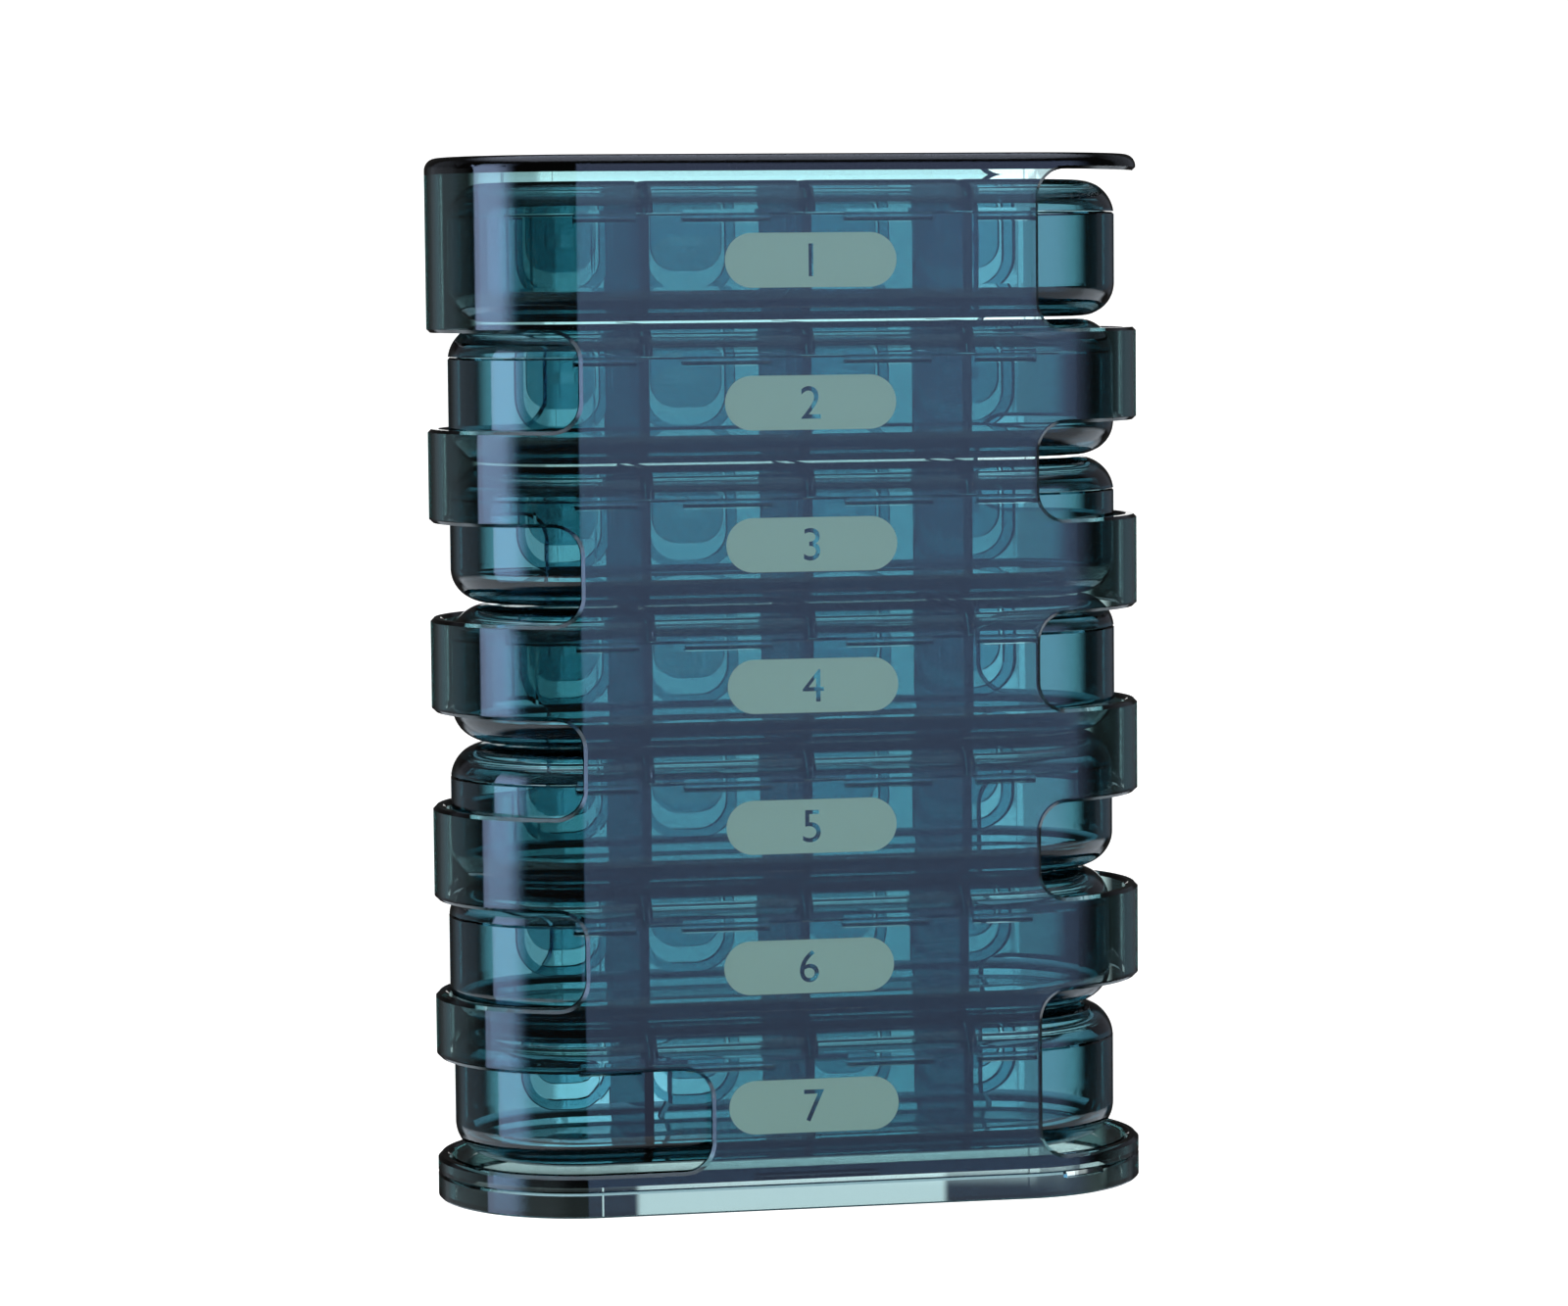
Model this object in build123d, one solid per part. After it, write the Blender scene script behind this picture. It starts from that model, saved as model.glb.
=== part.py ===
from build123d import *
from math import cos, hypot, radians, sin, tan
import os

# Weekly pill box: a tall stadium-shaped case that holds a stack of seven day boxes.
# Millimetres. Origin at the centre of the base, on the surface that the box stands on.
# +Z is up, +X is the long side, and the front, with the printed labels, faces -Y.

os.makedirs("parts", exist_ok=True)

# Case
case_length = 108.0
case_depth = 43.6
case_height = 156.0
case_wall = 2.0
top_plate = 2.5
top_crown = 1.8
edge_ease = 0.5
inner_length = case_length - 2 * case_wall
inner_depth = case_depth - 2 * case_wall
bend_at = (case_length - case_depth) / 2
plate_underside = case_height - top_plate
tiny = 1e-3

# Base
seam_height = 3.7
seam_bevel = 0.3
ring_top = 6.3
base_fit = 0.15
base_floor = 2.0
base_rim_wall = 2.4
snap_bead = 0.4
snap_length = 18.0
pry_notch = (7.0, 3.0, 0.9)
pry_notch_turn = 25

# Day boxes: their length and depth follow from the case, and so does their height
days = 7
end_play = 1.3
side_play = 0.7
floor_gap = 0.15
headroom = 1.3
stack_gap = 0.35
box_length = inner_length - 2 * end_play
box_depth = inner_depth - 2 * side_play
box_bend = (box_length - box_depth) / 2
stack_floor = ring_top + floor_gap
box_pitch = (plate_underside - headroom + stack_gap - stack_floor) / days
box_height = box_pitch - stack_gap
rest_offset = (0.0, -0.2, -0.2, -0.2, -0.6, -1.15, -0.6)

# Gaps in the rounded ends, staggered by half a pitch from one end to the other
left_gaps = 4
gap_pitch = 1.3555 * box_pitch
gap_height = 0.6857 * box_pitch
gap_corner = 4.2
gap_edge = bend_at + 2.1
first_left_gap = stack_floor + 1.5165 * box_pitch
first_right_gap = first_left_gap - gap_pitch / 2
loading_mouth = first_right_gap + left_gaps * gap_pitch - gap_height / 2
push_window_edge = bend_at - 16.4
push_window_top = ring_top + 15.1
split_angle = radians(66)

# Tray
lid_seam = 0.1
lid_height = 4.8
tray_height = box_height - lid_height - lid_seam
tray_wall = 1.3
tray_floor = 1.4
tray_bottom_round = 5.0
tray_edge = 0.3
well_bottom = 2.4
divider = 1.4
divider_at = 0.238 * box_length

# Opening tongue at the back of each lid, and the scoop that it hangs in
tongue_width = 11.0
tongue_drop = 8.4
tongue_corner = 4.0
tongue_thick = 1.2
tongue_grip = (5.0, 1.8, 0.4)
scoop_width = 12.2
scoop_drop = 11.0
scoop_corner = 4.6
scoop_depth = tongue_thick + 0.25
middle_tongue_at = divider_at / 2
end_tongue_at = divider_at + scoop_width / 2 + tray_wall + 0.1

# Lid hinge: a pin moulded across a notch in the tray's front wall, gripped by the lid's knuckle
hinge_width = 13.2
end_hinge_low = divider_at + 1.2
end_hinge_high = box_bend + 2.9
hinge_inset = 0.5
hinge_drop = 0.5
pin_radius = 0.4
pin_clearance = 0.03
knuckle_radius = 0.75
notch_clearance = 0.12
hinge_y = -box_depth / 2 + hinge_inset
hinge_z = tray_height - hinge_drop

# Lid
lid_round = 5.5
lid_side_bevel = 0.7
lid_gap = 0.2
lid_top = 1.2
lid_skirt = 1.2
pocket_bevel = 2.0


def stadium(length, depth, low, high):
    """A stadium-shaped prism between two heights."""
    return Pos(0, 0, low) * extrude(SlotOverall(length, depth), high - low)


def block(x, y, z):
    """A box between three pairs of limits."""
    size = (x[1] - x[0], y[1] - y[0], z[1] - z[0])
    centre = Pos((x[0] + x[1]) / 2, (y[0] + y[1]) / 2, (z[0] + z[1]) / 2)
    return centre * Box(*size)


def upright_cut(x, z, radius, reach):
    """A rounded rectangle in the XZ plane, pushed through the part along Y."""
    outline = RectangleRounded(x[1] - x[0], z[1] - z[0], radius)
    face = Plane.XZ.offset(-reach / 2) * Pos((x[0] + x[1]) / 2, (z[0] + z[1]) / 2) * outline
    return extrude(face, reach)


def top_edges(solid, height):
    """The edges of a solid that lie in the horizontal plane at one height."""
    return [e for e in solid.edges() if abs(e.bounding_box().min.Z - height) < tiny
            and abs(e.bounding_box().max.Z - height) < tiny]


def end_gap(side, low, high, edge):
    """One opening that runs round an end of the case, through the front and back walls."""
    outer = case_length / 2 + 20
    x = (edge, outer) if side > 0 else (-outer, -edge)
    return upright_cut(x, (low, high), gap_corner, case_depth * 2)


def snap_bar(side, radius, length):
    """A bar along one long side of the base plug, half sunk in its wall."""
    y = side * (inner_depth / 2 - base_fit)
    return Pos(0, y, (seam_height + ring_top) / 2) * Rot(0, 90, 0) * Cylinder(radius, length)


def end_wedge(side):
    """The part of the row beyond two upright planes through one end's centre of curvature."""
    far = case_length
    near = far / tan(split_angle)
    outline = Polygon((0, 0), (near, -far), (2 * far, -far), (2 * far, far), (near, far), align=None)
    turn = Rot(0, 0, 0 if side > 0 else 180)
    return Pos(side * bend_at, 0, 0) * turn * extrude(outline, case_height)


def on_split(point):
    """Whether a point lies on one of the planes that bound the end wedges."""
    run = abs(point.X) - bend_at
    return abs(run * sin(split_angle) - abs(point.Y) * cos(split_angle)) < tiny


def is_gap_edge(edge):
    """Whether an edge of the case runs round one of the gaps, the mouths or the window."""
    box = edge.bounding_box()
    middle = edge @ 0.5
    outside = hypot(max(abs(middle.X) - bend_at, 0), middle.Y) > (inner_depth + case_wall) / 2
    if box.min.Z < seam_height + seam_bevel + tiny or box.max.Z > plate_underside + tiny:
        return False
    if not outside and middle.X > 0 and box.max.Z > loading_mouth - tiny:
        return False
    if not outside and box.min.Z > plate_underside - tiny:
        return False
    if abs(middle.X) < push_window_edge - tiny or (on_split(edge @ 0) and on_split(edge @ 1)
                                                   and box.size.Y < case_depth / 2):
        return False
    return not (box.size.X < tiny and (box.size.Z < tiny or abs(abs(middle.X) - bend_at) < tiny))


def ease_gaps(solid):
    """A piece of the case with the sharp edges round its gaps eased."""
    return solid.chamfer(edge_ease, None, [e for e in solid.edges() if is_gap_edge(e)]).solid()


def make_case():
    """The clear outer moulding: top plate, walls, staggered end bands and bottom ring."""
    shell = stadium(case_length, case_depth, seam_height, case_height)
    shell = fillet(top_edges(shell, case_height), top_crown)
    shell = chamfer(top_edges(shell, seam_height), seam_bevel)
    shell -= stadium(inner_length, inner_depth, seam_height, plate_underside)
    half = gap_height / 2
    for i in range(left_gaps):
        centre = first_left_gap + i * gap_pitch
        shell -= end_gap(-1, centre - half, centre + half, gap_edge)
    shell -= end_gap(-1, ring_top, push_window_top, push_window_edge)
    for i in range(1, left_gaps):
        centre = first_right_gap + i * gap_pitch
        shell -= end_gap(1, centre - half, centre + half, gap_edge)
    shell -= end_gap(1, ring_top, first_right_gap + half, gap_edge)
    shell -= end_gap(1, loading_mouth, plate_underside, gap_edge)
    for side in (-1, 1):
        shell -= snap_bar(side, snap_bead + 0.1, snap_length + 1)
    ends = [end_wedge(-1), end_wedge(1)]
    pieces = (shell - ends[0] - ends[1]).solids()
    for end in ends:
        pieces += (shell & end).solids()
    eased = [ease_gaps(piece) for piece in pieces]
    return eased[0].fuse(*eased[1:])


def make_base():
    """The foot that closes the case: a rim below the seam and a plug that fills the ring."""
    base = stadium(case_length, case_depth, 0, seam_height)
    base = chamfer(top_edges(base, 0) + top_edges(base, seam_height), seam_bevel)
    base += stadium(inner_length - 2 * base_fit, inner_depth - 2 * base_fit, seam_height, ring_top)
    pocket_top = ring_top - base_floor
    pocket = 2 * base_rim_wall
    base -= stadium(case_length - pocket, case_depth - pocket, 0, pocket_top)
    for side in (-1, 1):
        base += snap_bar(side, snap_bead, snap_length)
    height = pry_notch[2]
    notch = Pos(0, -case_depth / 2, seam_height - height / 2) * Box(*pry_notch)
    notch = Pos(bend_at, 0, 0) * Rot(0, 0, pry_notch_turn) * notch
    return base - notch


def well_limits(index):
    """The x limits of one compartment, counted from the left."""
    lines = (-box_length, -divider_at, 0.0, divider_at, box_length)
    return lines[index] + divider / 2, lines[index + 1] - divider / 2


def tongue_place(index):
    """The x position of a compartment's tongue and scoop."""
    return (-end_tongue_at, -middle_tongue_at, middle_tongue_at, end_tongue_at)[index]


def hinge_place(index):
    """The x position and width of a compartment's hinge."""
    side = -1 if index < 2 else 1
    if index in (0, 3):
        return side * (end_hinge_low + end_hinge_high) / 2, end_hinge_high - end_hinge_low
    return side * middle_tongue_at, hinge_width


def scoop(index, grow, depth):
    """A tongue-shaped block on the back face, used for the scoop and for the wall behind it."""
    outline = RectangleRounded(scoop_width + 2 * grow, 2 * (scoop_drop + grow), scoop_corner + grow)
    face = Plane.XZ.offset(-box_depth) * Pos(tongue_place(index), tray_height) * outline
    core = stadium(box_length - 2 * depth, box_depth - 2 * depth, -box_height, 2 * box_height)
    return extrude(face, box_depth) - core


def make_tray():
    """One day's tray: four wells, a scoop behind each and a hinge pin in front of each."""
    tray = stadium(box_length, box_depth, 0, tray_height)
    tray = fillet(top_edges(tray, 0), tray_bottom_round)
    tray = chamfer(top_edges(tray, tray_height), tray_edge)
    inner = stadium(box_length - 2 * tray_wall, box_depth - 2 * tray_wall, tray_floor, tray_height + 1)
    inner = chamfer(top_edges(inner, tray_floor), well_bottom)
    for index in range(4):
        x = well_limits(index)
        well = inner & block(x, (-box_depth, box_depth), (0, tray_height + 1))
        well -= scoop(index, tray_wall, scoop_depth + tray_wall)
        tray -= well
        tray -= scoop(index, 0, scoop_depth)
        hinge_x, width = hinge_place(index)
        notch_low = hinge_z - knuckle_radius - notch_clearance
        tray -= block((hinge_x - width / 2, hinge_x + width / 2),
                      (-box_depth, hinge_y + knuckle_radius + notch_clearance),
                      (notch_low, tray_height + 1))
        tray += Pos(hinge_x, hinge_y, hinge_z) * Rot(0, 90, 0) * Cylinder(pin_radius, width + 0.6)
    return tray & stadium(box_length, box_depth, 0, tray_height)


def make_lid(index):
    """One lid: a shallow cap with a hinge knuckle in front and an opening tongue behind."""
    low, high = tray_height + lid_seam, box_height
    lines = (-box_length, -divider_at, 0.0, divider_at, box_length)
    x = (lines[index] + lid_gap / 2, lines[index + 1] - lid_gap / 2)
    cap = stadium(box_length, box_depth, 0, high)
    cap = fillet(top_edges(cap, high), lid_round)
    cap &= block(x, (-box_depth, box_depth), (low, high))
    sides = [e for e in cap.edges() if e.bounding_box().size.X < tiny
             and abs(e.bounding_box().min.X) < divider_at + 1 and e.bounding_box().max.Z > low + tiny]
    cap = chamfer(sides, lid_side_bevel)
    pocket = stadium(box_length - 2 * lid_skirt, box_depth - 2 * lid_skirt, low, high - lid_top)
    pocket = chamfer(top_edges(pocket, high - lid_top), pocket_bevel)
    pocket &= block((x[0] + lid_skirt, x[1] - lid_skirt), (-box_depth, box_depth), (low, high))
    lid = cap - pocket
    tongue = stadium(box_length, box_depth, tray_height - tongue_drop, low + 1)
    tongue -= stadium(box_length - 2 * tongue_thick, box_depth - 2 * tongue_thick, 0, box_height)
    tongue_x = tongue_place(index)
    outline = RectangleRounded(tongue_width, 2 * tongue_drop, tongue_corner)
    face = Plane.XZ.offset(-box_depth) * Pos(tongue_x, tray_height) * outline
    tongue &= extrude(face, box_depth)
    tongue &= block((-box_length, box_length), (0, box_depth), (0, low + 0.5))
    lid += tongue
    grip_w, grip_h, grip_d = tongue_grip
    lid -= block((tongue_x - grip_w / 2, tongue_x + grip_w / 2),
                 (box_depth / 2 - grip_d, box_depth), (low - 4.6, low - 4.6 + grip_h))
    hinge_x, width = hinge_place(index)
    half = width / 2 - notch_clearance
    knuckle = Pos(hinge_x, hinge_y, hinge_z) * Rot(0, 90, 0) * Cylinder(knuckle_radius, 2 * half)
    knuckle += block((hinge_x - half, hinge_x + half), (hinge_y - hinge_inset, hinge_y + 0.6),
                     (hinge_z, low + 0.5))
    lid += knuckle
    lid -= Pos(hinge_x, hinge_y, hinge_z) * Rot(0, 90, 0) * Cylinder(pin_radius + pin_clearance, width)
    return lid


lid_names = ("morning", "noon", "evening", "night")

export_step(make_case(), "parts/case_shell.step")
export_step(make_base(), "parts/base_cover.step")

tray_solid = make_tray()
lid_solids = [make_lid(i) for i in range(4)]
for day in range(1, days + 1):
    height = stack_floor + (days - day) * box_pitch
    place = Pos(rest_offset[day - 1], 0, height)
    export_step(place * tray_solid, f"parts/day_{day}_tray.step")
    for name, lid_solid in zip(lid_names, lid_solids):
        export_step(place * lid_solid, f"parts/day_{day}_lid_{name}.step")
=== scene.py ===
import logging
import math
from dataclasses import dataclass
from enum import Enum

import bpy
from mathutils import Matrix, Vector
from mathutils.geometry import interpolate_bezier


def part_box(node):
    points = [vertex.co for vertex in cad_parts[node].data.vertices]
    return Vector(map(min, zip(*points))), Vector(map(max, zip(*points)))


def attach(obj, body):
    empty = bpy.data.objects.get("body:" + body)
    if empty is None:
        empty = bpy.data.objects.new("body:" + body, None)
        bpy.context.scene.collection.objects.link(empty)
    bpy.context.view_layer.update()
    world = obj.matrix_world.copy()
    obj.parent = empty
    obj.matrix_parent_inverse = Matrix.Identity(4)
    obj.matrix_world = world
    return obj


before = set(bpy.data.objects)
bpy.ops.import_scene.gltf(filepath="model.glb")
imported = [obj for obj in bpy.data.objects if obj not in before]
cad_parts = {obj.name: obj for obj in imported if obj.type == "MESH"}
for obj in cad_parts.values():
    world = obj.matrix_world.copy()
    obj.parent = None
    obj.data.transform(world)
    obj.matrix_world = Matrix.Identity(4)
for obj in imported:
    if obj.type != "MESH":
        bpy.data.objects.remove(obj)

log = logging.getLogger("pill_box")
MM = 0.001
DAYS = 7
FULL_TURN = 360.0
WHITE = (1.0, 1.0, 1.0, 1.0)
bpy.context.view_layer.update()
# Where the Mix node keeps its factor, its two colours and its mixed colour.
MIX_FACTOR = 0
MIX_FIRST = 6
MIX_SECOND = 7
MIX_RESULT = 2


class Socket(Enum):
    """Shader sockets that the finishes set, by Blender's own names."""

    COLOUR = "Base Color"
    ROUGHNESS = "Roughness"
    IOR = "IOR"
    TRANSMISSION = "Transmission Weight"
    NORMAL = "Normal"
    GLOW = "Emission Color"
    GLOW_STRENGTH = "Emission Strength"


def linear(code: str) -> tuple[float, float, float, float]:
    """Turns an sRGB hex code to a linear colour.

    Args:
        code: six hex digits, such as "8fd0c4".

    Returns:
        Red, green, blue and an alpha of 1.
    """
    # The sRGB standard has a straight part for dark values and a power curve for the rest.
    parts = [int(code[i:i + 2], 16) / 255 for i in (0, 2, 4)]
    scaled = [p / 12.92 if p <= 0.04045 else ((p + 0.055) / 1.055) ** 2.4 for p in parts]
    return (*scaled, 1.0)


def add_node(tree: bpy.types.NodeTree, kind: str, settings: dict | None = None,
             links: dict | None = None) -> bpy.types.Node:
    """Adds one node, sets what it holds and links its inputs.

    Args:
        tree: the node tree that takes the node.
        kind: Blender's name for the node's type.
        settings: input sockets by name or number, or properties by name, and their values.
        links: input sockets by name or number, and the output socket that feeds each.

    Returns:
        The new node.
    """
    node = tree.nodes.new(kind)
    for name, value in (settings or {}).items():
        if isinstance(name, str) and hasattr(node, name) and name not in node.inputs:
            setattr(node, name, value)
        else:
            node.inputs[name].default_value = value
    for name, source in (links or {}).items():
        tree.links.new(source, node.inputs[name])
    return node


def new_material(name: str) -> tuple[bpy.types.Material, bpy.types.NodeTree, bpy.types.Node]:
    """Makes an empty node material.

    Args:
        name: what the material is called.

    Returns:
        The material, its tree and its output node.
    """
    material = bpy.data.materials.new(name)
    material.use_nodes = True
    tree = material.node_tree
    tree.nodes.clear()
    return material, tree, add_node(tree, "ShaderNodeOutputMaterial")


@dataclass(frozen=True)
class ClearMoulding:
    """Clear styrene acrylonitrile, injection-moulded and tinted in the mass.

    It is hard and glossy, faintly rippled, and darker where light crosses more of it.
    """

    name: str
    absorbed_per_m: tuple[float, float, float]
    ior: float = 1.57
    roughness: float = 0.012
    glossiest: float = 0.4
    dullest: float = 1.8
    ripple_mm: float = 9.0
    ripple_height_mm: float = 0.0005
    ripple_detail: float = 1.0
    ripple_roughness: float = 0.4
    haze_mm: float = 3.0
    haze_detail: float = 2.0
    haze_from: float = 0.35
    haze_to: float = 0.75

    def build(self) -> bpy.types.Material:
        """Makes a clear shell that is coloured by how much plastic the light crosses.

        Returns:
            The material.
        """
        material, tree, output = new_material(self.name)
        place = add_node(tree, "ShaderNodeTexCoord")
        # Flow in the mould leaves ripples some millimetres long that bend highlights very slightly.
        ripple = add_node(tree, "ShaderNodeTexNoise",
                          {"Scale": 1 / (self.ripple_mm * MM), "Detail": self.ripple_detail,
                           "Roughness": self.ripple_roughness},
                          {"Vector": place.outputs["Object"]})
        bump = add_node(tree, "ShaderNodeBump",
                        {"Strength": 1.0, "Distance": self.ripple_height_mm * MM},
                        {"Height": ripple.outputs[0]})
        # Handling leaves patches a few millimetres wide that are a little less glossy.
        patches = add_node(tree, "ShaderNodeTexNoise",
                           {"Scale": 1 / (self.haze_mm * MM), "Detail": self.haze_detail},
                           {"Vector": place.outputs["Object"]})
        gloss = add_node(tree, "ShaderNodeMapRange",
                         {"From Min": self.haze_from, "From Max": self.haze_to,
                          "To Min": self.roughness * self.glossiest,
                          "To Max": self.roughness * self.dullest},
                         {"Value": patches.outputs[0]})
        skin = add_node(tree, "ShaderNodeBsdfPrincipled",
                        {Socket.COLOUR.value: WHITE, Socket.IOR.value: self.ior,
                         Socket.TRANSMISSION.value: 1.0},
                        {Socket.ROUGHNESS.value: gloss.outputs[0], Socket.NORMAL.value: bump.outputs[0]})
        density = max(self.absorbed_per_m)
        passed = tuple(1 - a / density for a in self.absorbed_per_m)
        mass = add_node(tree, "ShaderNodeVolumeAbsorption", {"Density": density, "Color": (*passed, 1.0)})
        tree.links.new(skin.outputs[0], output.inputs["Surface"])
        tree.links.new(mass.outputs[0], output.inputs["Volume"])
        return material


@dataclass(frozen=True)
class PadPrint:
    """Pad-printed pale green ink: a thin satin film with a faint stipple from the pad."""

    name: str = "pad_print_pale_green"
    ink: str = "ebf3d6"
    thin_ink: str = "e2edcd"
    ior: float = 1.5
    roughness: float = 0.42
    stipple_mm: float = 0.35
    stipple_detail: float = 2.0
    stipple_height_mm: float = 0.01
    stipple_relief: float = 0.3
    # Painted glow: how strongly the ink gives off light of its own colour, standing in for light on the
    # label.
    shine_through: float = 0.32

    def build(self) -> bpy.types.Material:
        """Makes the ink, with a painted glow: an even emission in the ink's colour that stands in for light
        falling on the label.

        Returns:
            The material.
        """
        material, tree, output = new_material(self.name)
        place = add_node(tree, "ShaderNodeTexCoord")
        # The pad leaves a stipple about a third of a millimetre wide, in tone and in height.
        stipple = add_node(tree, "ShaderNodeTexNoise",
                           {"Scale": 1 / (self.stipple_mm * MM), "Detail": self.stipple_detail},
                           {"Vector": place.outputs["Object"]})
        tone = add_node(tree, "ShaderNodeMix",
                        {"data_type": "RGBA", MIX_FIRST: linear(self.thin_ink),
                         MIX_SECOND: linear(self.ink)},
                        {MIX_FACTOR: stipple.outputs[0]})
        bump = add_node(tree, "ShaderNodeBump",
                        {"Strength": self.stipple_relief, "Distance": self.stipple_height_mm * MM},
                        {"Height": stipple.outputs[0]})
        # Painted glow: the ink gives off light evenly, which stands in for the light that falls on and
        # through the label.
        skin = add_node(tree, "ShaderNodeBsdfPrincipled",
                        {Socket.ROUGHNESS.value: self.roughness, Socket.IOR.value: self.ior,
                         Socket.GLOW.value: linear(self.ink),
                         Socket.GLOW_STRENGTH.value: self.shine_through},
                        {Socket.COLOUR.value: tone.outputs[MIX_RESULT],
                         Socket.NORMAL.value: bump.outputs[0]})
        tree.links.new(skin.outputs[0], output.inputs["Surface"])
        return material


@dataclass(frozen=True)
class StudioGlass:
    """The table's top: plain white to the camera, and clear to every other ray."""

    name: str = "studio_glass_table"
    white: str = "ffffff"
    shine: float = 1.3
    tooth_mm: float = 0.8
    tooth_gain: float = 1.01

    def build(self) -> bpy.types.Material:
        """Makes the table's material.

        Returns:
            The material.
        """
        material, tree, output = new_material(self.name)
        place = add_node(tree, "ShaderNodeTexCoord")
        tooth = add_node(tree, "ShaderNodeTexNoise", {"Scale": 1 / (self.tooth_mm * MM)},
                         {"Vector": place.outputs["Object"]})
        tone = add_node(tree, "ShaderNodeMapRange",
                        {"To Min": self.shine, "To Max": self.shine * self.tooth_gain},
                        {"Value": tooth.outputs[0]})
        light = add_node(tree, "ShaderNodeEmission", {"Color": linear(self.white)},
                         {"Strength": tone.outputs[0]})
        clear = add_node(tree, "ShaderNodeBsdfTransparent")
        seen = add_node(tree, "ShaderNodeLightPath")
        mixed = add_node(tree, "ShaderNodeMixShader",
                         links={0: seen.outputs["Is Camera Ray"], 1: clear.outputs[0], 2: light.outputs[0]})
        tree.links.new(mixed.outputs[0], output.inputs["Surface"])
        return material


class Part(Enum):
    """The kinds of moulding in the box."""

    CASE = "case_shell"
    BASE = "base_cover"
    TRAY = "tray"
    LID = "lid"


@dataclass
class Mouldings:
    """The clear mouldings: the case, its base, seven trays and their lids."""

    case: ClearMoulding = ClearMoulding("san_clear_blue_green_case", (382.0, 224.0, 221.0))
    base: ClearMoulding = ClearMoulding("san_clear_blue_green_base", (382.0, 224.0, 221.0))
    tray: ClearMoulding = ClearMoulding("san_clear_blue_green_tray", (1000.0, 540.0, 460.0))
    lid: ClearMoulding = ClearMoulding("san_clear_blue_green_lid", (1000.0, 540.0, 460.0))

    def kind(self, name: str) -> Part:
        """Says which kind of moulding a node is.

        Args:
            name: the node's name.

        Returns:
            The kind of moulding.
        """
        if "_lid_" in name:
            return Part.LID
        return Part.TRAY if name.endswith("_tray") else Part(name)

    def dress(self) -> None:
        """Gives every node of the frame its moulded finish."""
        finishes = {Part.CASE: self.case, Part.BASE: self.base, Part.TRAY: self.tray, Part.LID: self.lid}
        made = {kind: finish.build() for kind, finish in finishes.items()}
        for name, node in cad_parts.items():
            for item in node.material_slots:
                item.material = made[self.kind(name)]
        log.info("dressed %d mouldings", len(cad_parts))


@dataclass
class DayLabels:
    """The printed pill-shaped labels on the fronts of the trays, with a numeral left clear in each."""

    length: float = 25.6 * MM
    height: float = 8.0 * MM
    drop: float = 6.87 * MM
    aside: float = 0.4 * MM
    numeral_height: float = 4.8 * MM
    film: float = 0.05 * MM
    standoff: float = 0.01 * MM
    arc_steps: int = 20
    curve_steps: int = 8
    ink: PadPrint = PadPrint()

    def outline(self) -> list[tuple[float, float]]:
        """Walks round the pill, whose ends are half circles.

        Returns:
            The points of the outline round the pill's middle.
        """
        radius = self.height / 2
        straight = self.length / 2 - radius
        points = []
        for side, start in ((1, -90), (-1, 90)):
            for step in range(self.arc_steps + 1):
                angle = math.radians(start + 180 * step / self.arc_steps)
                points.append((side * straight + radius * math.cos(angle), radius * math.sin(angle)))
        return points

    def numeral(self, text: str) -> list[list[tuple[float, float]]]:
        """Takes the closed outlines of a numeral, centred and scaled to its height.

        Args:
            text: the numeral.

        Returns:
            One list of points for each outline.
        """
        words = bpy.data.curves.new("numeral", "FONT")
        words.body = text
        holder = bpy.data.objects.new("numeral", words)
        loops = []
        for spline in holder.to_curve(bpy.context.evaluated_depsgraph_get()).splines:
            knots = list(spline.bezier_points)
            loop = []
            for start, end in zip(knots, knots[1:] + knots[:1]):
                stretch = interpolate_bezier(start.co, start.handle_right, end.handle_left, end.co,
                                             self.curve_steps)
                loop += [(point[0], point[1]) for point in stretch[:-1]]
            loops.append(loop)
        holder.to_curve_clear()
        bpy.data.objects.remove(holder)
        xs = [p[0] for loop in loops for p in loop]
        ys = [p[1] for loop in loops for p in loop]
        scale = self.numeral_height / (max(ys) - min(ys))
        middle = ((max(xs) + min(xs)) / 2, (max(ys) + min(ys)) / 2)
        return [[((x - middle[0]) * scale, (y - middle[1]) * scale) for x, y in loop] for loop in loops]

    def print_film(self, name: str, loops: list[list[tuple[float, float]]]) -> bpy.types.Object:
        """Fills the space between outlines as a thin film.

        Args:
            name: the film's name.
            loops: the outlines, the pill first.

        Returns:
            A mesh object in the XY plane.
        """
        curve = bpy.data.curves.new(name, "CURVE")
        curve.dimensions = "2D"
        curve.fill_mode = "BOTH"
        curve.extrude = self.film / 2
        for loop in loops:
            spline = curve.splines.new("POLY")
            spline.points.add(len(loop) - 1)
            for point, (x, y) in zip(spline.points, loop):
                point.co = (x, y, 0.0, 1.0)
            spline.use_cyclic_u = True
        holder = bpy.data.objects.new(name, curve)
        mesh = bpy.data.meshes.new_from_object(holder)
        bpy.data.objects.remove(holder)
        film = bpy.data.objects.new(name, mesh)
        bpy.context.scene.collection.objects.link(film)
        return film

    def build(self) -> None:
        """Prints the seven labels, each on its own tray."""
        ink = self.ink.build()
        for day in range(1, DAYS + 1):
            low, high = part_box(f"day_{day}_tray")
            label = self.print_film(f"day_{day}_label", [self.outline(), *self.numeral(str(day))])
            label.data.materials.clear()
            label.data.materials.append(ink)
            centre = Vector(((low[0] + high[0]) / 2 + self.aside, low[1] - self.film / 2 - self.standoff,
                             high[2] - self.drop))
            label.data.transform(Matrix.Translation(centre) @ Matrix.Rotation(math.pi / 2, 4, "X"))
            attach(label, f"day_{day}_box")
            log.info("printed label %d", day)


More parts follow.
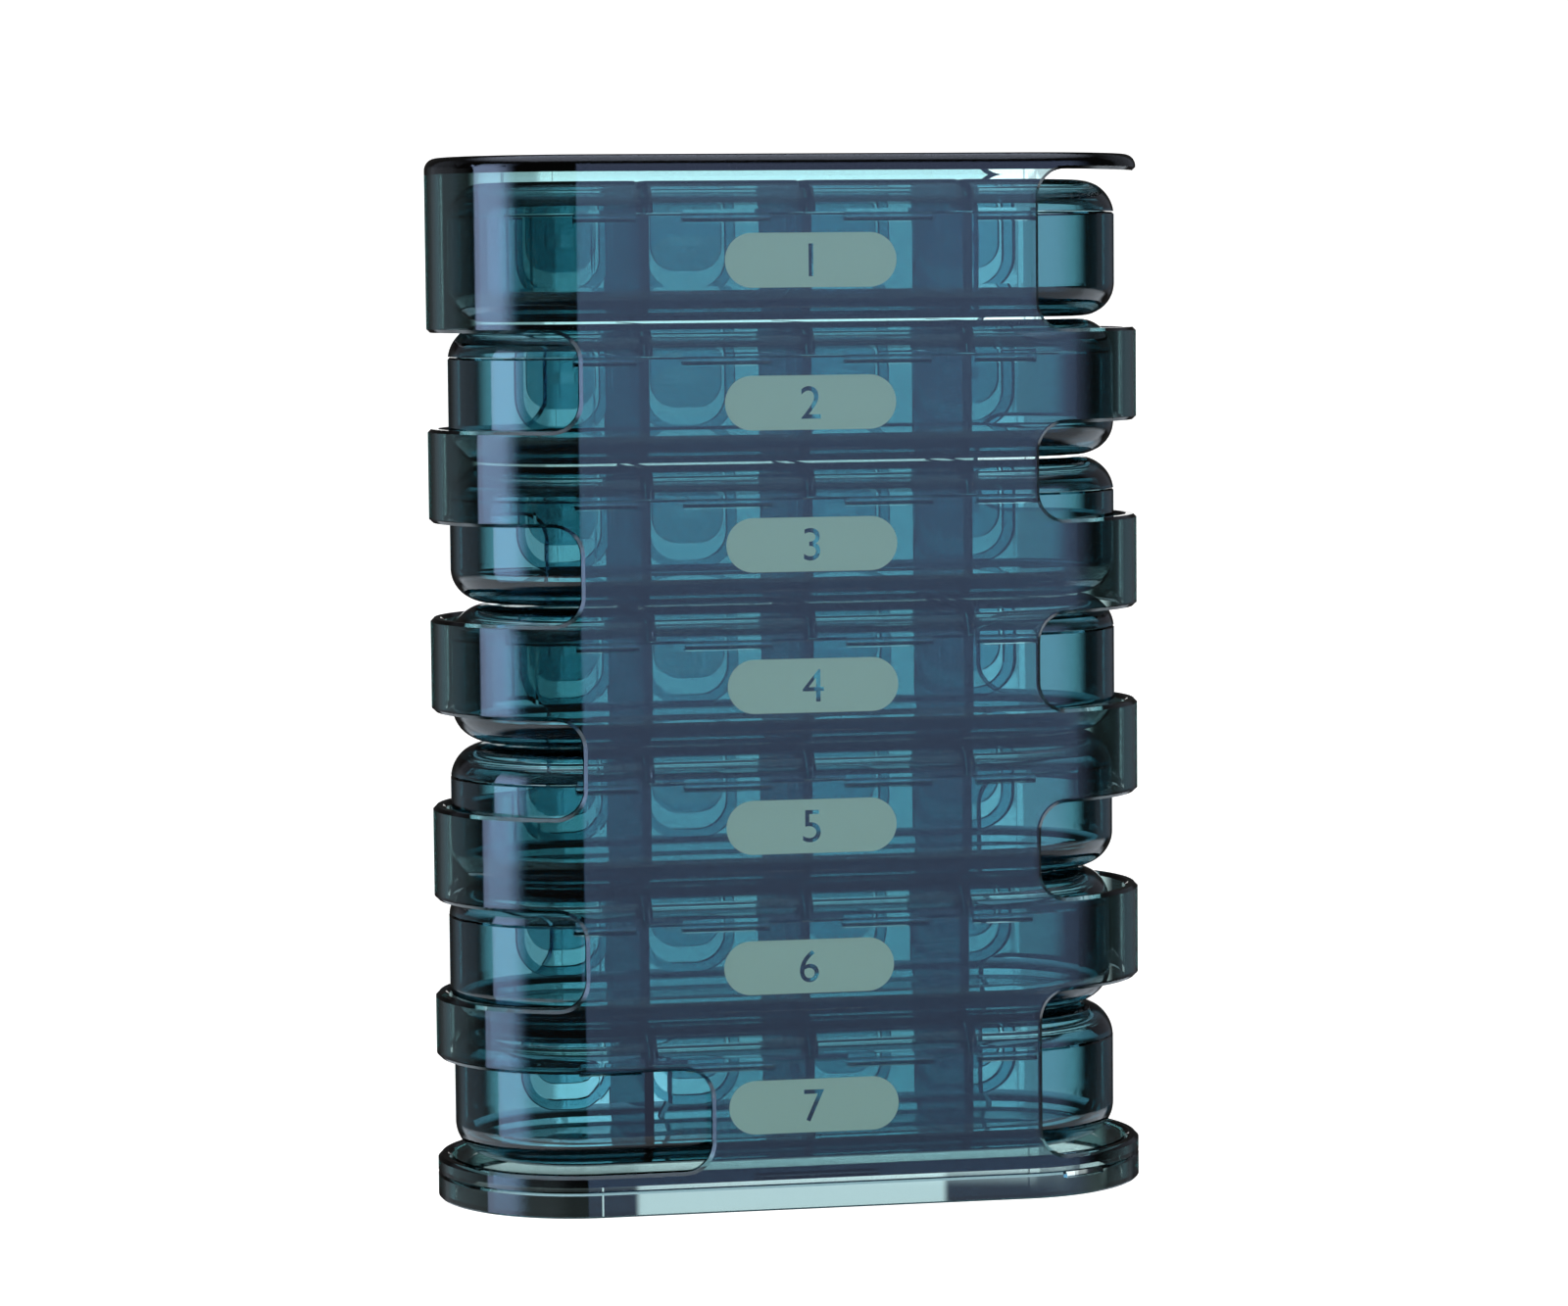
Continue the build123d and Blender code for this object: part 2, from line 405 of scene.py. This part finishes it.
@dataclass(frozen=True)
class SoftLight:
    """A lit part of the room round the object.

    It runs from one direction to another, counted in degrees round the object from the front towards the
    right, and from one height to another, in degrees above level. Its light fades in at each of its edges.
    """

    start: float
    end: float
    low: float
    high: float
    glow: float
    colour: str = "ffffff"
    fade_start: float = 1.0
    fade_end: float = 1.0
    fade_low: float = 1.0
    fade_high: float = 1.0

    def ramp(self, tree: bpy.types.NodeTree, angle: bpy.types.NodeSocket, dark: float,
             lit: float) -> bpy.types.NodeSocket:
        """Rises from 0 to 1 between two angles.

        Args:
            tree: the room's nodes.
            angle: an angle in radians.
            dark: the angle in degrees where the light ends.
            lit: the angle in degrees where it is full.

        Returns:
            The level.
        """
        rising = lit > dark
        ends = (dark, lit) if rising else (lit, dark)
        levels = (0.0, 1.0) if rising else (1.0, 0.0)
        ramp = add_node(tree, "ShaderNodeMapRange",
                        {"interpolation_type": "SMOOTHSTEP", "From Min": math.radians(ends[0]),
                         "From Max": math.radians(ends[1]), "To Min": levels[0], "To Max": levels[1]},
                        {"Value": angle})
        return ramp.outputs[0]

    def add_to(self, tree: bpy.types.NodeTree, turn: bpy.types.NodeSocket, rise: bpy.types.NodeSocket,
               total: bpy.types.NodeSocket) -> bpy.types.NodeSocket:
        """Adds this light to what the room gives already.

        Args:
            tree: the room's nodes.
            turn: the angle round the object.
            rise: the angle above level.
            total: the light so far.

        Returns:
            The light with this one added.
        """
        width = self.end - self.start
        since = add_node(tree, "ShaderNodeMath", {"operation": "SUBTRACT", 1: math.radians(self.start)},
                         {0: turn})
        along = add_node(tree, "ShaderNodeMath", {"operation": "WRAP", 1: math.tau, 2: 0.0},
                         {0: since.outputs[0]}).outputs[0]
        level = self.ramp(tree, along, 0.0, self.fade_start)
        edges = ((along, width, width - self.fade_end),
                 (rise, self.low, self.low + self.fade_low),
                 (rise, self.high, self.high - self.fade_high))
        for angle, dark, lit in edges:
            level = add_node(tree, "ShaderNodeMath", {"operation": "MULTIPLY"},
                             {0: level, 1: self.ramp(tree, angle, dark, lit)}).outputs[0]
        tint = tuple(self.glow * part for part in linear(self.colour)[:3])
        return add_node(tree, "ShaderNodeVectorMath", {"operation": "MULTIPLY_ADD", 1: tint},
                        {0: level, 2: total}).outputs[0]


@dataclass
class Studio:
    """A table that light passes through, in a dim room with soft lights round the object.

    The directions and heights are those of SoftLight, and the screen stands straight behind the object as
    the camera sees it.
    """

    table: float = 3.0
    under: float = 0.05 * MM
    behind: float = 169.39
    core: float = 3.8
    wing: float = 10.0
    strip: float = 1.9
    away: float = 35.0
    screen_low: float = -10.9
    screen_high: float = 4.0
    ground_low: float = -50.0
    dimness: float = 0.03
    seen: float = 1.3
    ground_tint: str = "e8f4ff"
    sky_tint: str = "dce8ff"
    right_tint: str = "b0c8ff"
    left_tint: str = "b8d1ff"
    glass: StudioGlass = StudioGlass()

    def lights(self) -> list[SoftLight]:
        """Lists the soft lights, which add up where they overlap.

        Returns:
            The screen's lights first, then those at the sides, on the ground and overhead.
        """
        behind = self.behind
        return [
            # The screen's bright core.
            SoftLight(start=behind - self.core, end=behind + self.core, low=self.screen_low,
                      high=self.screen_high, glow=1.3, fade_start=0.4, fade_end=0.4, fade_low=0.5,
                      fade_high=0.5),
            # The whole screen, which adds to the core and fades out in its wings.
            SoftLight(start=behind - self.wing, end=behind + self.wing, low=self.screen_low,
                      high=self.screen_high, glow=1.15, fade_start=3.0, fade_end=3.0, fade_low=0.5,
                      fade_high=0.5),
            # A narrow strip under the screen, seen through the base.
            SoftLight(start=behind - self.strip, end=behind + self.strip, low=-13.5, high=-10.4, glow=1.1,
                      fade_start=0.1, fade_end=0.1, fade_low=0.5, fade_high=0.5),
            # A wide cool light at the front right.
            SoftLight(start=-4.5, end=76.0, low=-30.0, high=35.0, glow=1.45, colour=self.right_tint,
                      fade_start=2.0, fade_end=28.0, fade_low=34.0, fade_high=20.0),
            # A strong cool light at the front left.
            SoftLight(start=-91.0, end=-50.0, low=-30.0, high=35.0, glow=5.0, colour=self.left_tint,
                      fade_start=3.0, fade_end=20.0, fade_low=34.0, fade_high=20.0),
            # A faint fill at the rear right, and one like it at the rear left.
            SoftLight(start=100.0, end=150.0, low=-12.0, high=45.0, glow=0.15, colour=self.sky_tint,
                      fade_start=10.0, fade_end=10.0, fade_low=4.0, fade_high=20.0),
            SoftLight(start=-155.0, end=-105.0, low=-12.0, high=45.0, glow=0.15, colour=self.sky_tint,
                      fade_start=10.0, fade_end=10.0, fade_low=4.0, fade_high=20.0),
            # Light off the ground all round, apart from the part behind the object.
            SoftLight(start=behind + self.away, end=behind - self.away + FULL_TURN, low=self.ground_low,
                      high=-10.5, glow=0.8, colour=self.ground_tint, fade_start=10.0, fade_end=10.0,
                      fade_low=10.0, fade_high=5.0),
            # More of it on the left side.
            SoftLight(start=behind + self.away, end=345.0, low=self.ground_low, high=-9.0, glow=0.6,
                      colour=self.ground_tint, fade_start=10.0, fade_end=20.0, fade_low=10.0, fade_high=5.0),
            # More of it on the right side.
            SoftLight(start=80.0, end=behind - self.away, low=self.ground_low, high=-9.0, glow=0.6,
                      colour=self.ground_tint, fade_start=20.0, fade_end=10.0, fade_low=10.0, fade_high=5.0),
            # Behind the object it ends lower, below what the camera sees straight through the clear walls.
            SoftLight(start=behind - self.away - 10.0, end=behind + self.away + 10.0, low=self.ground_low,
                      high=-17.0, glow=0.8, colour=self.ground_tint, fade_start=10.0, fade_end=10.0,
                      fade_low=10.0, fade_high=6.0),
            # A faint glow near level at the rear left.
            SoftLight(start=behind + 24.0, end=behind + 100.0, low=-18.0, high=12.0, glow=0.1,
                      colour=self.ground_tint, fade_start=15.0, fade_end=15.0, fade_low=6.0, fade_high=8.0),
            # Light from overhead, all round.
            SoftLight(start=0.0, end=FULL_TURN, low=40.0, high=100.0, glow=1.8, colour=self.sky_tint,
                      fade_start=0.1, fade_end=0.1, fade_low=25.0, fade_high=1.0),
        ]

    def lay_table(self) -> None:
        """Lays the table under the object."""
        half = self.table / 2
        mesh = bpy.data.meshes.new("table")
        corners = [(-half, -half, -self.under), (half, -half, -self.under), (half, half, -self.under),
                   (-half, half, -self.under)]
        mesh.from_pydata(corners, [], [(0, 1, 2, 3)])
        mesh.materials.append(self.glass.build())
        table = bpy.data.objects.new("table", mesh)
        bpy.context.scene.collection.objects.link(table)

    def light_room(self) -> None:
        """Fills the room: plain white to the camera, dim with the soft lights to every other ray."""
        world = bpy.data.worlds.new("studio")
        bpy.context.scene.world = world
        world.use_nodes = True
        tree = world.node_tree
        tree.nodes.clear()
        toward = add_node(tree, "ShaderNodeTexCoord")
        part = add_node(tree, "ShaderNodeSeparateXYZ", links={0: toward.outputs["Generated"]})
        front = add_node(tree, "ShaderNodeMath", {"operation": "MULTIPLY", 1: -1.0}, {0: part.outputs["Y"]})
        turn = add_node(tree, "ShaderNodeMath", {"operation": "ARCTAN2"},
                        {0: part.outputs["X"], 1: front.outputs[0]})
        rise = add_node(tree, "ShaderNodeMath", {"operation": "ARCSINE"}, {0: part.outputs["Z"]})
        total = add_node(tree, "ShaderNodeCombineXYZ", {axis: self.dimness for axis in "XYZ"}).outputs[0]
        for light in self.lights():
            total = light.add_to(tree, turn.outputs[0], rise.outputs[0], total)
        lit = add_node(tree, "ShaderNodeBackground", {"Strength": 1.0}, {"Color": total})
        white = add_node(tree, "ShaderNodeBackground", {"Color": WHITE, "Strength": self.seen})
        seen = add_node(tree, "ShaderNodeLightPath")
        mixed = add_node(tree, "ShaderNodeMixShader",
                         links={0: seen.outputs["Is Camera Ray"], 1: lit.outputs[0], 2: white.outputs[0]})
        add_node(tree, "ShaderNodeOutputWorld", links={"Surface": mixed.outputs[0]})

    def build(self) -> None:
        """Sets up the table and the room."""
        self.lay_table()
        self.light_room()
        log.info("lit the studio with %d soft lights", len(self.lights()))


@dataclass
class Viewpoint:
    """The camera, where the photograph's perspective puts it."""

    azimuth: float = -10.61
    pitch: float = 4.535
    roll: float = -0.524
    distance: float = 727.24 * MM
    height: float = 138.8 * MM
    pan: float = 0.034
    focal_px: float = 4912.6
    image_width: int = 1600
    sensor: float = 36.0
    nearest: float = 0.01
    farthest: float = 20.0

    def build(self) -> None:
        """Makes the camera and looks through it."""
        lens = bpy.data.cameras.new("camera")
        lens.sensor_width = self.sensor
        lens.lens = self.sensor * self.focal_px / self.image_width
        lens.clip_start = self.nearest
        lens.clip_end = self.farthest
        turn, tilt, roll = math.radians(self.azimuth), math.radians(self.pitch), math.radians(self.roll)
        aim = turn + math.radians(self.pan)
        ahead = Vector((-math.sin(aim) * math.cos(tilt), math.cos(aim) * math.cos(tilt), -math.sin(tilt)))
        right = Vector((math.cos(aim), math.sin(aim), 0.0))
        up = right.cross(ahead)
        across = right * math.cos(roll) + up * math.sin(roll)
        upward = up * math.cos(roll) - right * math.sin(roll)
        place = Matrix((across, upward, -ahead)).transposed().to_4x4()
        place.translation = (math.sin(turn) * self.distance, -math.cos(turn) * self.distance, self.height)
        camera = bpy.data.objects.new("camera", lens)
        camera.matrix_world = place
        bpy.context.scene.collection.objects.link(camera)
        bpy.context.scene.camera = camera


@dataclass(frozen=True)
class Picture:
    """How colours are shown, and how often light may bounce or cross a surface."""

    view_transform: str = "Standard"
    wall_crossings: int = 40
    glossy_bounces: int = 8
    diffuse_bounces: int = 3
    see_through_crossings: int = 16

    def apply(self) -> None:
        """Keeps the colours plain and lets light cross every clear wall in the stack."""
        scene = bpy.context.scene
        scene.view_settings.view_transform = self.view_transform
        scene.cycles.max_bounces = self.wall_crossings
        scene.cycles.transmission_bounces = self.wall_crossings
        scene.cycles.glossy_bounces = self.glossy_bounces
        scene.cycles.diffuse_bounces = self.diffuse_bounces
        scene.cycles.transparent_max_bounces = self.see_through_crossings


def main() -> None:
    """Builds the scene in order."""
    logging.basicConfig(level=logging.INFO)
    Picture().apply()
    Mouldings().dress()
    DayLabels().build()
    Studio().build()
    Viewpoint().build()


if __name__ == "__main__":
    main()
